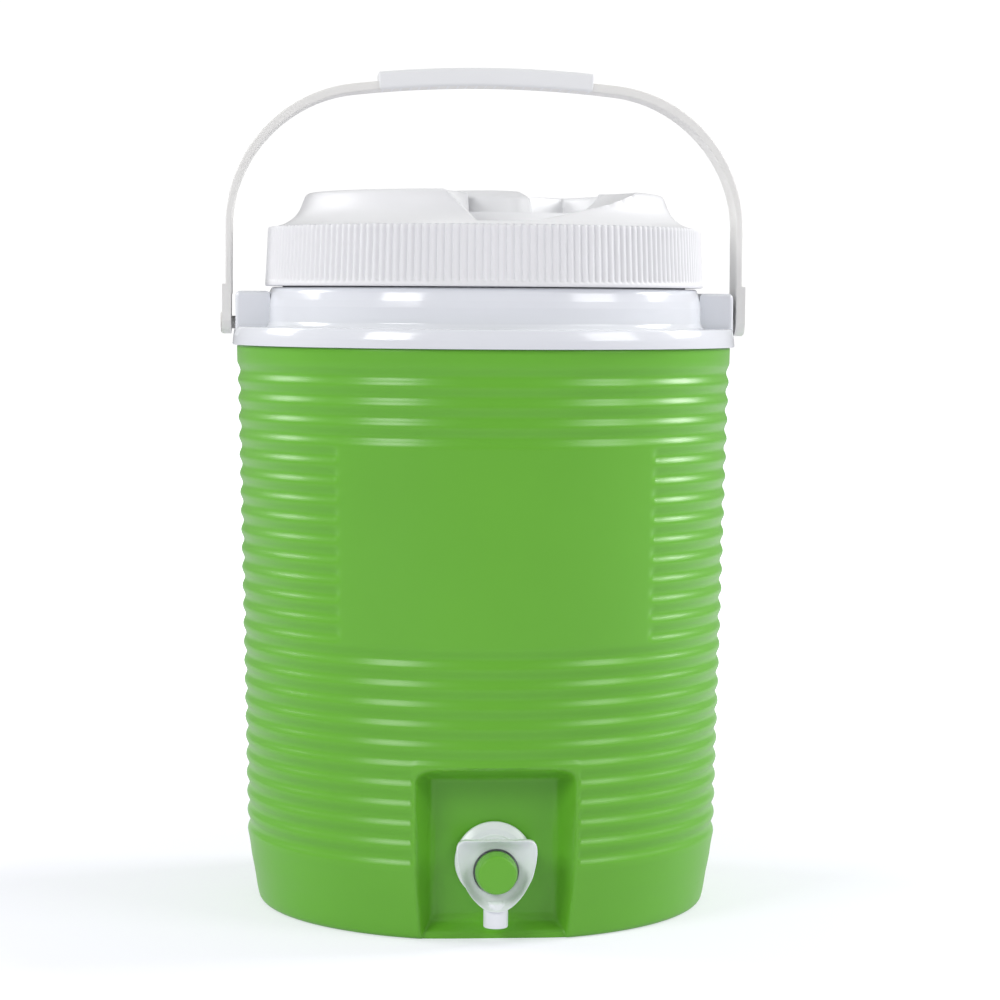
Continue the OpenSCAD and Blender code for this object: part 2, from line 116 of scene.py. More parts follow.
class WaterJugStudio(bpy.types.PropertyGroup):
    """Camera and lights."""
    camera_distance: bpy.props.FloatProperty(
        name="Camera distance", description="Distance of the camera from the jug's axis",
        default=1.45, unit="LENGTH")
    camera_height: bpy.props.FloatProperty(
        name="Camera height", description="Height of the camera above the floor",
        default=0.298, unit="LENGTH")
    camera_bearing: bpy.props.FloatProperty(
        name="Camera bearing", description="Bearing of the camera from the jug's front",
        default=math.radians(-3.7), subtype="ANGLE")
    camera_aside: bpy.props.FloatProperty(
        name="Camera aside", description="How far the camera looks to the right of the axis",
        default=math.radians(0.33), subtype="ANGLE")
    camera_dip: bpy.props.FloatProperty(
        name="Camera dip", description="How far the camera looks down",
        default=math.radians(1.98), subtype="ANGLE")
    camera_roll: bpy.props.FloatProperty(
        name="Camera roll", description="Tilt of the camera about its own line of sight",
        default=math.radians(0.36), subtype="ANGLE")
    camera_shift: bpy.props.FloatProperty(
        name="Camera shift", description="Vertical lens shift, as a share of the frame",
        default=-0.1)
    lens: bpy.props.FloatProperty(
        name="Lens", description="Focal length on a 36 mm wide sensor",
        default=104.7, subtype="NONE")
    key_power: bpy.props.FloatProperty(
        name="Softbox power", description="Strength of each tall softbox",
        default=16.0, unit="POWER")
    sky: bpy.props.FloatProperty(
        name="Surround", description="Strength of the light from all round", default=0.37)
    floor_glow: bpy.props.FloatProperty(
        name="Floor lift", description="Light added to the floor where it is seen", default=0.5)


# ------------------------------------------------------------------ small tools

def ease(a, b, t):
    """0 below a, 1 above b and a soft step between them."""
    t = min(1.0, max(0.0, (t - a) / (b - a)))
    return t * t * (3 - 2 * t)


def soft_min(a, b, k):
    """Smaller of two values, with a blend of width k where they cross."""
    h = max(k - abs(a - b), 0.0) / k
    return min(a, b) - h * h * k * 0.25


def soft_ramp(t, k):
    """0 below zero, t above it, with a rounded foot."""
    return k * math.log1p(math.exp(min(t / k, 40.0)))


def along(points, t):
    """Value at t on straight runs between (t, value) pairs."""
    if t <= points[0][0]:
        return points[0][1]
    for (t0, v0), (t1, v1) in zip(points, points[1:]):
        if t <= t1:
            return v0 + (v1 - v0) * (t - t0) / (t1 - t0)
    return points[-1][1]


def smooth_along(points, t):
    """Value at t on a smooth curve through (t, value) pairs."""
    if t <= points[0][0]:
        return points[0][1]
    if t >= points[-1][0]:
        return points[-1][1]
    for i in range(len(points) - 1):
        (t0, v0), (t1, v1) = points[i], points[i + 1]
        if t <= t1:
            ta, va = points[max(i - 1, 0)]
            tb, vb = points[min(i + 2, len(points) - 1)]
            h = t1 - t0
            m0 = (v1 - va) / (t1 - ta) * h
            m1 = (vb - v0) / (tb - t0) * h
            s = (t - t0) / h
            return ((2 * s ** 3 - 3 * s ** 2 + 1) * v0 + (s ** 3 - 2 * s ** 2 + s) * m0
                    + (3 * s ** 2 - 2 * s ** 3) * v1 + (s ** 3 - s ** 2) * m1)


def rounded(points, steps=4):
    """Profile of (x, y, radius) corners with each corner rounded off by an arc."""
    out = []
    for i, (x, y, r) in enumerate(points):
        p = Vector((x, y))
        if r <= 0 or i in (0, len(points) - 1):
            out.append((x, y))
            continue
        a = Vector(points[i - 1][:2]) - p
        b = Vector(points[i + 1][:2]) - p
        turn = a.angle(b)
        cut = min(r / math.tan(turn / 2), a.length * 0.49, b.length * 0.49)
        a, b = p + a.normalized() * cut, p + b.normalized() * cut
        for j in range(steps + 1):
            t = j / steps
            q = a.lerp(p, t).lerp(p.lerp(b, t), t)
            out.append((q.x, q.y))
    return out


def spread(stops, counts):
    """Values that run through the stops with the given number of steps in each run."""
    out = []
    for (a, b), n in zip(zip(stops, stops[1:]), counts):
        out += [a + (b - a) * i / n for i in range(n)]
    return out + [stops[-1]]


def lathe(profile, steps, closed=False):
    """Spins a profile of (radius, height) pairs in millimetres round Z, starting at the front."""
    bm = bmesh.new()
    row = bm.verts.layers.int.new("row")
    verts = []
    for i, (r, z) in enumerate(profile):
        v = bm.verts.new((0.0, -r, z))
        v[row] = i
        verts.append(v)
    edges = [bm.edges.new(pair) for pair in zip(verts, verts[1:])]
    if closed:
        edges.append(bm.edges.new((verts[-1], verts[0])))
    bmesh.ops.spin(bm, geom=verts + edges, cent=(0, 0, 0), axis=(0, 0, 1), dvec=(0, 0, 0),
                   angle=TAU, steps=steps, use_merge=True, use_normal_flip=False,
                   use_duplicate=False)
    return bm, row


def make_piece(bm, name, body, replaces, material, crease=40):
    """Turns a mesh in millimetres into a finished object that rides on its body."""
    bmesh.ops.remove_doubles(bm, verts=bm.verts, dist=1e-4)
    bmesh.ops.recalc_face_normals(bm, faces=bm.faces)
    bmesh.ops.scale(bm, verts=bm.verts, vec=(0.001, 0.001, 0.001))
    mesh = bpy.data.meshes.new(name)
    bm.to_mesh(mesh)
    bm.free()
    mesh.shade_smooth()
    mesh.set_sharp_from_angle(angle=math.radians(crease))
    piece = bpy.data.objects.new(name, mesh)
    bpy.context.scene.collection.objects.link(piece)
    mesh.materials.append(material)
    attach(piece, body)
    if replaces:
        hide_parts(*replaces)
    return piece


def join_shapes(base, extra):
    """Boolean union of two closed meshes in millimetres, given back as one bmesh."""
    objects = []
    for bm in (base, extra):
        bmesh.ops.remove_doubles(bm, verts=bm.verts, dist=1e-4)
        bmesh.ops.recalc_face_normals(bm, faces=bm.faces)
        mesh = bpy.data.meshes.new("joining")
        bm.to_mesh(mesh)
        bm.free()
        ob = bpy.data.objects.new("joining", mesh)
        bpy.context.scene.collection.objects.link(ob)
        objects.append(ob)
    mod = objects[0].modifiers.new("join", "BOOLEAN")
    mod.operation = "UNION"
    mod.solver = "EXACT"
    mod.object = objects[1]
    bpy.context.view_layer.update()
    done = objects[0].evaluated_get(bpy.context.evaluated_depsgraph_get())
    out = bmesh.new()
    out.from_mesh(done.to_mesh())
    for ob in objects:
        mesh = ob.data
        bpy.data.objects.remove(ob)
        bpy.data.meshes.remove(mesh)
    return out


# ------------------------------------------------------------------ finishes

def new_group(name, inputs, outputs):
    """Empty shader group with (name, kind, default) inputs and (name, kind) outputs."""
    group = bpy.data.node_groups.new(name, "ShaderNodeTree")
    for title, kind, default in inputs:
        socket = group.interface.new_socket(title, in_out="INPUT", socket_type=kind)
        socket.default_value = default
    for title, kind in outputs:
        group.interface.new_socket(title, in_out="OUTPUT", socket_type=kind)
    return group, group.nodes.new("NodeGroupInput"), group.nodes.new("NodeGroupOutput")


def add(tree, kind, inputs=(), **settings):
    """Adds a node, sets its properties, then its inputs from values or other sockets."""
    node = tree.nodes.new(kind)
    for key, value in settings.items():
        setattr(node, key, value)
    for key, value in dict(inputs).items():
        if isinstance(value, bpy.types.NodeSocket):
            tree.links.new(value, node.inputs[key])
        else:
            node.inputs[key].default_value = value
    return node


def moulded_grain_group():
    """Fine pebbled skin of a moulding, with a slow unevenness under it."""
    if "moulded_grain" in bpy.data.node_groups:
        return bpy.data.node_groups["moulded_grain"]
    g, gi, go = new_group("moulded_grain",
                          [("Position", "NodeSocketVector", (0, 0, 0)),
                           ("Grain", "NodeSocketFloat", 1800.0),
                           ("Waves", "NodeSocketFloat", 35.0),
                           ("Wave share", "NodeSocketFloat", 0.5)],
                          [("Height", "NodeSocketFloat"), ("Mask", "NodeSocketFloat")])
    fine = add(g, "ShaderNodeTexNoise", {"Vector": gi.outputs["Position"],
               "Scale": gi.outputs["Grain"], "Detail": 3.0, "Roughness": 0.55})
    slow = add(g, "ShaderNodeTexNoise", {"Vector": gi.outputs["Position"],
               "Scale": gi.outputs["Waves"], "Detail": 2.0, "Roughness": 0.5})
    mix = add(g, "ShaderNodeMix", {"Factor": gi.outputs["Wave share"],
              "A": fine.outputs["Fac"], "B": slow.outputs["Fac"]}, data_type="FLOAT")
    g.links.new(mix.outputs["Result"], go.inputs["Height"])
    g.links.new(slow.outputs["Fac"], go.inputs["Mask"])
    return g


def handling_marks_group():
    """Faint smudges and hairline rubs left by handling."""
    if "handling_marks" in bpy.data.node_groups:
        return bpy.data.node_groups["handling_marks"]
    g, gi, go = new_group("handling_marks",
                          [("Position", "NodeSocketVector", (0, 0, 0)),
                           ("Size", "NodeSocketFloat", 14.0),
                           ("Amount", "NodeSocketFloat", 0.5)],
                          [("Smudge", "NodeSocketFloat"), ("Hairlines", "NodeSocketFloat")])
    cloud = add(g, "ShaderNodeTexNoise", {"Vector": gi.outputs["Position"],
                "Scale": gi.outputs["Size"], "Detail": 6.0, "Roughness": 0.62})
    smudge = add(g, "ShaderNodeMapRange", {"Value": cloud.outputs["Fac"], "From Min": 0.42,
                 "From Max": 0.72, "To Min": 0.0, "To Max": gi.outputs["Amount"]})
    stretch = add(g, "ShaderNodeVectorMath", {0: gi.outputs["Position"], 1: (40.0, 55.0, 900.0)},
                  operation="MULTIPLY")
    line = add(g, "ShaderNodeTexNoise", {"Vector": stretch.outputs["Vector"], "Scale": 1.0,
               "Detail": 2.0})
    hair = add(g, "ShaderNodeMapRange", {"Value": line.outputs["Fac"], "From Min": 0.66,
               "From Max": 0.74, "To Min": 0.0, "To Max": gi.outputs["Amount"]})
    g.links.new(smudge.outputs["Result"], go.inputs["Smudge"])
    g.links.new(hair.outputs["Result"], go.inputs["Hairlines"])
    return g


def tone_drift_group():
    """Slow drift of the pigment between two close tones."""
    if "tone_drift" in bpy.data.node_groups:
        return bpy.data.node_groups["tone_drift"]
    g, gi, go = new_group("tone_drift",
                          [("Position", "NodeSocketVector", (0, 0, 0)),
                           ("Base", "NodeSocketColor", (1, 1, 1, 1)),
                           ("Drift", "NodeSocketColor", (1, 1, 1, 1)),
                           ("Scale", "NodeSocketFloat", 9.0)],
                          [("Color", "NodeSocketColor")])
    cloud = add(g, "ShaderNodeTexNoise", {"Vector": gi.outputs["Position"],
                "Scale": gi.outputs["Scale"], "Detail": 4.0, "Roughness": 0.6})
    span = add(g, "ShaderNodeMapRange", {"Value": cloud.outputs["Fac"], "From Min": 0.3,
               "From Max": 0.7})
    mix = add(g, "ShaderNodeMix", {"Factor": span.outputs["Result"]}, data_type="RGBA")
    g.links.new(gi.outputs["Base"], mix.inputs[6])
    g.links.new(gi.outputs["Drift"], mix.inputs[7])
    g.links.new(mix.outputs[2], go.inputs["Color"])
    return g


def place_group(tree, group, inputs):
    """Adds a group node to a material and fills its inputs."""
    node = tree.nodes.new("ShaderNodeGroup")
    node.node_tree = group
    for key, value in inputs.items():
        if isinstance(value, bpy.types.NodeSocket):
            tree.links.new(value, node.inputs[key])
        else:
            node.inputs[key].default_value = value
    return node


# Height of the moulded grain, in metres
GRAIN_DEPTH = 0.0002


def moulded_plastic(name, colour, rough, drift=0.94, grain=1800.0, waves=35.0, wave_share=0.5,
                    bump=0.08, marks=0.25):
    """Moulded plastic: pigment drift, pebbled or polished skin, smudges and hairlines."""
    if name in bpy.data.materials:
        return bpy.data.materials[name]
    mat = bpy.data.materials.new(name)
    mat.use_nodes = True
    tree = mat.node_tree
    shader = tree.nodes["Principled BSDF"]
    place = tree.nodes.new("ShaderNodeTexCoord").outputs["Object"]
    tone = place_group(tree, tone_drift_group(), {
        "Position": place, "Base": (*colour, 1), "Drift": (*[c * drift for c in colour], 1),
        "Scale": 9.0})
    skin = place_group(tree, moulded_grain_group(), {
        "Position": place, "Grain": grain, "Waves": waves, "Wave share": wave_share})
    rubs = place_group(tree, handling_marks_group(), {
        "Position": place, "Size": 14.0, "Amount": marks})
    tree.links.new(tone.outputs["Color"], shader.inputs["Base Color"])
    spread_rough = add(tree, "ShaderNodeMapRange", {
        "Value": rubs.outputs["Smudge"], "From Min": 0.0, "From Max": 1.0,
        "To Min": rough, "To Max": min(1.0, rough + 0.25)})
    more = add(tree, "ShaderNodeMath", {0: rubs.outputs["Hairlines"], 1: 0.12,
               2: spread_rough.outputs["Result"]}, operation="MULTIPLY_ADD")
    tree.links.new(more.outputs["Value"], shader.inputs["Roughness"])
    relief = add(tree, "ShaderNodeBump", {"Strength": bump, "Distance": GRAIN_DEPTH,
                 "Height": skin.outputs["Height"]})
    tree.links.new(relief.outputs["Normal"], shader.inputs["Normal"])
    shader.inputs["IOR"].default_value = 1.5
    return mat


def wanted_colours():
    return bpy.context.scene.water_jug_colours


def green_shell_plastic():
    return moulded_plastic("green_shell_plastic", wanted_colours().shell, 0.30, drift=0.95,
                           grain=1500.0, waves=45.0, wave_share=0.55, bump=0.10, marks=0.20)


def gloss_collar_plastic():
    return moulded_plastic("gloss_collar_plastic", wanted_colours().collar, 0.13, drift=0.985,
                           grain=900.0, waves=22.0, wave_share=0.85, bump=0.04, marks=0.10)


def satin_lid_plastic():
    return moulded_plastic("satin_lid_plastic", wanted_colours().lid, 0.42, drift=0.985,
                           grain=1400.0, waves=30.0, wave_share=0.6, bump=0.05, marks=0.12)


def strap_plastic():
    return moulded_plastic("strap_plastic", wanted_colours().strap, 0.45, drift=0.975,
                           grain=700.0, waves=60.0, wave_share=0.8, bump=0.03, marks=0.1)


def grip_plastic():
    return moulded_plastic("grip_plastic", wanted_colours().grip, 0.45, drift=0.98,
                           grain=1100.0, waves=60.0, wave_share=0.3, bump=0.12, marks=0.2)


def tap_plastic():
    return moulded_plastic("tap_plastic", wanted_colours().tap, 0.24, drift=0.97,
                           grain=1200.0, waves=70.0, wave_share=0.7, bump=0.05, marks=0.12)


def button_plastic():
    return moulded_plastic("button_plastic", wanted_colours().button, 0.36, drift=0.96,
                           grain=1500.0, waves=80.0, wave_share=0.4, bump=0.10, marks=0.2)


def liner_plastic():
    return moulded_plastic("liner_plastic", (0.80, 0.81, 0.83), 0.33, drift=0.97, grain=1300.0,
                           waves=25.0, wave_share=0.6, bump=0.06, marks=0.15)


def seal_silicone():
    return moulded_plastic("seal_silicone", (0.62, 0.64, 0.68), 0.55, drift=0.9, grain=2200.0,
                           waves=90.0, wave_share=0.3, bump=0.12, marks=0.3)


def foam_finish():
    """Set foam: open-pored and matt, straw coloured."""
    if "set_foam" in bpy.data.materials:
        return bpy.data.materials["set_foam"]
    mat = bpy.data.materials.new("set_foam")
    mat.use_nodes = True
    tree = mat.node_tree
    shader = tree.nodes["Principled BSDF"]
    place = tree.nodes.new("ShaderNodeTexCoord").outputs["Object"]
    tone = place_group(tree, tone_drift_group(), {
        "Position": place, "Base": (0.80, 0.68, 0.38, 1), "Drift": (0.72, 0.58, 0.30, 1),
        "Scale": 22.0})
    pores = add(tree, "ShaderNodeTexVoronoi", {"Vector": place, "Scale": 900.0})
    relief = add(tree, "ShaderNodeBump", {"Strength": 0.5, "Distance": 0.0004,
                 "Height": pores.outputs["Distance"]})
    tree.links.new(tone.outputs["Color"], shader.inputs["Base Color"])
    tree.links.new(relief.outputs["Normal"], shader.inputs["Normal"])
    shader.inputs["Roughness"].default_value = 0.9
    return mat


def spring_wire():
    """Drawn steel wire with fine draw lines."""
    if "spring_wire" in bpy.data.materials:
        return bpy.data.materials["spring_wire"]
    mat = bpy.data.materials.new("spring_wire")
    mat.use_nodes = True
    tree = mat.node_tree
    shader = tree.nodes["Principled BSDF"]
    place = tree.nodes.new("ShaderNodeTexCoord").outputs["Object"]
    tone = place_group(tree, tone_drift_group(), {
        "Position": place, "Base": (0.62, 0.62, 0.64, 1), "Drift": (0.50, 0.50, 0.53, 1),
        "Scale": 400.0})
    skin = place_group(tree, moulded_grain_group(), {
        "Position": place, "Grain": 6000.0, "Waves": 900.0, "Wave share": 0.5})
    relief = add(tree, "ShaderNodeBump", {"Strength": 0.15, "Distance": 0.00005,
                 "Height": skin.outputs["Height"]})
    rough = add(tree, "ShaderNodeMapRange", {"Value": skin.outputs["Mask"], "To Min": 0.18,
                "To Max": 0.38})
    tree.links.new(tone.outputs["Color"], shader.inputs["Base Color"])
    tree.links.new(rough.outputs["Result"], shader.inputs["Roughness"])
    tree.links.new(relief.outputs["Normal"], shader.inputs["Normal"])
    shader.inputs["Metallic"].default_value = 1.0
    return mat


# ------------------------------------------------------------------ shell

FOOT_CURVE = [(0.0, 107.6), (0.35, 108.7), (1.0, 109.6), (2.2, 110.4), (7.0, 111.5), (14.5, 112.7),
              (22.0, 114.2), (29.0, 115.2), (34.5, 116.26)]


def shell_radius(s, z):
    """Outer radius at height z, at the height of the crests."""
    if z < 34.5:
        return smooth_along(FOOT_CURVE, z)
    return s.body_radius * 1000 + (z - 32) * s.body_taper + s.ring_height * 1000


def recess_front(s, x, z, wall):
    """How far in front of the axis the recess's surface lies at x and z, less a wall."""
    half, top, back = s.recess_half * 1000, s.recess_top * 1000, s.recess_depth * 1000
    side = soft_ramp((abs(x) - (half - 7.5)) * 1.93, 1.5)
    roof = soft_ramp((z - (top - 7.0)) * 3.3, 1.8)
    sill = 7.2 * (1 - ease(1.6, 9.0, z))
    return back - wall + max(math.hypot(side, roof), sill)


def ring_valley(s, x, y, z):
    """Depth of the groove between two rings, faded out at the panel and by the recess."""
    low = s.ring_top * 1000 - s.ring_pitch * 1000 * (s.ring_count - 1)
    if z < low or z > s.ring_top * 1000:
        return 0.0
    phase = (z - s.ring_top * 1000) / (s.ring_pitch * 1000)
    depth = s.ring_height * 1000 * (1 - math.cos(TAU * phase))
    turn = math.degrees(abs(math.atan2(x, -y)))
    panel_low = s.ring_top * 1000 - 14 * s.ring_pitch * 1000
    panel_high = s.ring_top * 1000 - 4 * s.ring_pitch * 1000
    if panel_low <= z <= panel_high:
        edge = math.degrees(s.panel_angle)
        depth *= ease(edge - 0.3, edge + 2.0, turn)
    if y < 0 and z < s.recess_top * 1000 + 8:
        dx = abs(x) - s.recess_half * 1000
        dz = z - s.recess_top * 1000
        away = dx if dz < 0 else (dz if dx < 0 else math.hypot(dx, dz))
        depth *= ease(0.4, 3.4, away)
    return depth


class WATERJUG_OT_shell(bpy.types.Operator):
    """Builds the ringed shell with its front panel, tap recess and foot"""
    bl_idname = "water_jug.shell"
    bl_label = "Ringed Shell"

    def execute(self, context):
        s = context.scene.water_jug_sizes
        pitch = s.ring_pitch * 1000
        low = s.ring_top * 1000 - pitch * (s.ring_count - 1)
        under = [(0, 4), (20, 4), (45, 4), (70, 4), (82, 4), (84.5, 4), (87, 4), (90, 4), (93, 4),
                 (96, 4), (98.3, 4), (99.3, 3.7), (99.9, 2.9), (100.1, 1.6), (100.3, 0.5),
                 (100.9, 0.06), (102.4, 0), (105, 0), (107.0, 0)]
        heights = [0.06, 0.3, 0.7, 1.2, 1.8, 2.3, 2.7, 3.1, 3.5, 4.0, 5.0, 6.5, 8.5, 11, 14, 17, 20,
                   23, 26, 29, 31.5]
        heights += [low + pitch * i / 8 for i in range((s.ring_count - 1) * 8 + 1)]
        heights += [269.5, 272.5, 274.0]
        outer = [(shell_radius(s, z), z) for z in heights]
        edge = outer[-1][0]
        rim = [(edge - 0.1, 274.5), (edge - 0.4, 274.85), (edge - 0.9, 275.0), (120.4, 275.0),
               (120.4, 279.2), (118.6, 279.2), (118.3, 272)]
        inner = [(shell_radius(s, z) - 4.0, z) for z in
                 (250, 220, 190, 160, 130, 100, 90, 86, 84, 82, 80, 78, 76, 73, 70, 55, 40, 30, 20)]
        inner += [(107.8, 12), (102.6, 7.4), (80, 7), (40, 7), (0, 7)]
        profile = under + outer + rim + inner
        turns = [-180, -41.5, -34, -21.5, -20.2, -14.8, -12, 12, 14.8, 20.2, 21.5, 34, 41.5, 180]
        counts = [94, 11, 9, 3, 17, 4, 16, 4, 17, 3, 9, 11, 94]
        angles = spread(turns, counts)
        steps = len(angles) - 1
        bm, row = lathe(profile, steps)
        first_outer, first_inner = len(under), len(under) + len(outer) + len(rim)
        for v in bm.verts:
            r, z = math.hypot(v.co.x, v.co.y), v.co.z
            place = round(math.atan2(v.co.x, -v.co.y) / TAU * steps + steps / 2) % steps
            a = math.radians(angles[place])
            x, y = r * math.sin(a), -r * math.cos(a)
            if first_outer <= v[row] < first_outer + len(outer):
                dip = ring_valley(s, x, y, z)
                x, y = x * (r - dip) / r, y * (r - dip) / r
            if y < -60 and abs(x) < 55 and z < 100:
                wall = 2.4 if v[row] >= first_inner else 0.0
                front = recess_front(s, x, z, wall)
                y = -soft_min(-y, front, 3.2)
                if wall and z < 9:
                    y = max(y, -92)
            if v[row] < first_outer and z > 0:
                shelf = (1 - ease(43, 45, abs(x))) * ease(84.5, 87, -y)
                z *= 1 - shelf
            v.co = (x, y, z)
        make_piece(bm, "ringed_shell", "jug", ["outer_shell", "shell_base"],
                   green_shell_plastic(), 50)
        return {"FINISHED"}


# ------------------------------------------------------------------ collar and pins

PIVOT_Z = 286.0


class WATERJUG_OT_collar(bpy.types.Operator):
    """Builds the glossy collar with its handle lugs"""
    bl_idname = "water_jug.collar"
    bl_label = "Collar"

    def execute(self, context):
        profile = rounded([
            (120.8, 275.1, 0), (124.7, 275.1, 0.5), (124.4, 279.0, 6), (123.6, 283.4, 0),
            (123.2, 284.0, 0.9), (109.2, 284.0, 1.8), (107.9, 286.5, 2.0), (107.8, 294.0, 4.0),
            (107.35, 297.2, 3.0), (106.5, 301.0, 3.0), (105.4, 303.4, 1.4), (100.0, 303.4, 0.4),
            (100.0, 328.0, 0.7), (96.0, 328.0, 0.5), (96.0, 300.4, 0.6), (104.9, 300.4, 0.6),
            (104.9, 281.2, 0.5), (120.8, 281.2, 0.5), (120.8, 276.0, 0)], 5)
        collar, _ = lathe(profile, 288, closed=True)
        lugs = bmesh.new()
        for side in (-1, 1):
            made = bmesh.ops.create_cube(lugs, size=1.0)["verts"]
            bmesh.ops.scale(lugs, vec=(17.0, 34.0, 19.6), verts=made)
            bmesh.ops.translate(lugs, vec=(side * 114.5, 0, 291.7), verts=made)
        corner = [e for e in lugs.edges if abs(e.verts[0].co.x + e.verts[1].co.x) / 2 > 118
                  and (e.verts[0].co.z + e.verts[1].co.z) / 2 > 284]
        top = [e for e in lugs.edges if (e.verts[0].co.z + e.verts[1].co.z) / 2 > 300.5
               and e not in corner]
        bmesh.ops.bevel(lugs, geom=corner + top, offset=2.4, segments=5, profile=0.5,
                        affect="EDGES", material=-1, clamp_overlap=True)
        whole = join_shapes(collar, lugs)
        make_piece(whole, "glossy_collar", "jug",
                   ["collar", "collar_neck", "handle_lugs"], gloss_collar_plastic(), 32)
        return {"FINISHED"}


class WATERJUG_OT_pins(bpy.types.Operator):
    """Builds the two pivot pins with their domed heads"""
    bl_idname = "water_jug.pins"
    bl_label = "Pivot Pins"

    def execute(self, context):
        for side, name in ((-1, "pivot_pin_left"), (1, "pivot_pin_right")):
            profile = [(0, 0), (2.9, 0), (3.15, 0.4), (3.15, 15.9), (4.9, 15.9), (5.25, 16.05),
                       (5.0, 16.4), (4.1, 16.65), (2.4, 16.82), (0, 16.9)]
            bm, _ = lathe(profile, 48)
            bmesh.ops.rotate(bm, verts=bm.verts, cent=(0, 0, 0),
                             matrix=Matrix.Rotation(side * math.pi / 2, 3, "Y"))
            bmesh.ops.translate(bm, verts=bm.verts, vec=(side * 114.0, 0, PIVOT_Z))
            make_piece(bm, name + "_head", "jug", [name], strap_plastic(), 35)
        return {"FINISHED"}


# ------------------------------------------------------------------ lid

CROWN_FLANK = [(84.0, 350.0), (86.4, 349.85), (88.2, 349.2), (89.4, 347.6), (90.4, 344.8),
               (91.8, 341.6), (93.6, 338.9), (95.8, 336.9), (98.4, 335.2), (101.0, 334.1),
               (103.6, 333.4), (105.6, 333.05)]
LID_TOP = 350.0
WELL_FLOOR = 334.6
# left wall of a well: x of its top edge and of its foot, by y
WALL_TOP = [(-110.0, -30.0), (-86.0, -26.0), (-60.0, -21.0), (-20.0, -8.6)]
WALL_FOOT = [(-100.0, -9.6), (-60.0, -10.0), (-30.0, -9.4), (-20.0, -8.0)]
# height down the wall, from its top edge to its foot
WALL_DROP = [(0.0, 350.0), (0.12, 349.4), (0.3, 346.8), (0.6, 342.0), (0.85, 337.4), (0.95, 335.3),
             (1.0, WELL_FLOOR)]
# height up the ramp on the well's right, by the angle from the front
RAMP_RISE = [(6.0, 334.6), (13.0, 335.6), (25.0, 339.6), (36.0, 343.4), (44.0, 347.0), (51.0, 350.0)]
# outer radii of the trough round the hub and of the lobe, and how far the lobe is swirled
TROUGH_R, LOBE_R = 56.5, 92.0
SWIRL = 24.0


def finger_well(x, y, top):
    """Height of the lid's top at x and y once the front finger well is sunk into it."""
    r = math.hypot(x, y)
    turn = math.degrees(math.atan2(x, -y))
    wall_x, foot_x = along(WALL_TOP, y), along(WALL_FOOT, y)
    wall = smooth_along(WALL_DROP, (x - wall_x) / (foot_x - wall_x)) if y < -20 else top
    if -60 < turn < 100 and r > TROUGH_R:
        swirl = SWIRL * max(0.0, LOBE_R - r) / (LOBE_R - TROUGH_R)
        lobe = max(wall, smooth_along(RAMP_RISE, turn - swirl))
        top = min(top, lobe)
    if -60 < turn < 134:
        near = wall if turn < 30 else WELL_FLOOR
        bank = ease(55.0, 58.5, r) * (LID_TOP - WELL_FLOOR) + WELL_FLOOR
        end = ease(128, 134, turn) * (LID_TOP - WELL_FLOOR) + WELL_FLOOR
        top = min(top, max(near, bank, end))
    return top


def lid_top_height(x, y):
    r = math.hypot(x, y)
    top = smooth_along(CROWN_FLANK, r)
    return min(finger_well(x, y, top), finger_well(-x, -y, top))


class WATERJUG_OT_lid(bpy.types.Operator):
    """Builds the screw lid with its grip ribs and swirl-shaped finger wells"""
    bl_idname = "water_jug.lid"
    bl_label = "Screw Lid"

    def execute(self, context):
        s = context.scene.water_jug_sizes
        steps = s.lid_ribs * 6
        crown = spread([26.0, 28, 54.5, 59.5, 82, 105.6], [2, 9, 8, 10, 26])
        skirt = [(106.2, 333.04), (106.8, 332.96), (107.15, 332.75), (107.3, 332.4), (107.38, 331.9),
                 (107.45, 330.9), (107.5, 329.0), (107.8, 322.0), (108.2, 314.0), (108.5, 307.6),
                 (108.58, 306.6), (108.62, 306.0), (108.7, 305.0)]
        bottom = rounded([(108.7, 305.0, 0), (108.7, 304.0, 0.5), (104.0, 304.0, 0.4),
                          (104.0, 331.9, 0.6), (92.5, 331.9, 0.4), (92.5, 322.0, 0.5),
                          (90.3, 322.0, 0.4), (90.3, 332.0, 0.4), (20.4, 332.0, 0.4),
                          (20.4, 324.6, 0.4), (18.0, 324.6, 0.3), (18.0, 334.2, 0.3),
                          (25.6, 334.2, 0)], 1)[1:]
        profile = [(r, LID_TOP) for r in crown] + skirt + bottom
        bm, row = lathe(profile, steps, closed=True)
        rib_rows = range(len(crown) + 2, len(crown) + len(skirt) - 2)
        depth = s.rib_depth * 1000
        for v in bm.verts:
            x, y = v.co.xy
            if v[row] < len(crown):
                v.co.z = lid_top_height(x, y)
            elif v[row] in rib_rows:
                turn = math.atan2(x, -y)
                wave = 0.5 - 0.5 * math.cos(turn * s.lid_ribs)
                dip = depth * (1 - wave) ** 1.6
                r = math.hypot(x, y)
                v.co.x, v.co.y = x * (r - dip) / r, y * (r - dip) / r
        make_piece(bm, "ribbed_lid", "lid", ["lid_skirt", "lid_plate", "lid_crown"],
                   satin_lid_plastic(), 60)
        return {"FINISHED"}


class WATERJUG_OT_stopper(bpy.types.Operator):
    """Builds the round stopper in the middle of the lid"""
    bl_idname = "water_jug.stopper"
    bl_label = "Pour Stopper"

    def execute(self, context):
        profile = rounded([(0, 323.4, 0), (15.8, 323.4, 1.0), (17.2, 325.0, 0.5), (17.2, 328.0, 0.2),
                           (16.2, 328.0, 0.2), (16.2, 330.4, 0.2), (17.2, 330.4, 0.2),
                           (17.2, 335.2, 0.3), (24.8, 335.2, 0.6), (22.6, 348.4, 3.0),
                           (17.4, 351.6, 4.0), (8.0, 351.6, 6), (0, 351.2, 0)], 6)
        bm, _ = lathe(profile, 144)
        make_piece(bm, "stopper_hub", "stopper", ["pour_stopper"],
                   satin_lid_plastic(), 40)
        return {"FINISHED"}


# ------------------------------------------------------------------ handle

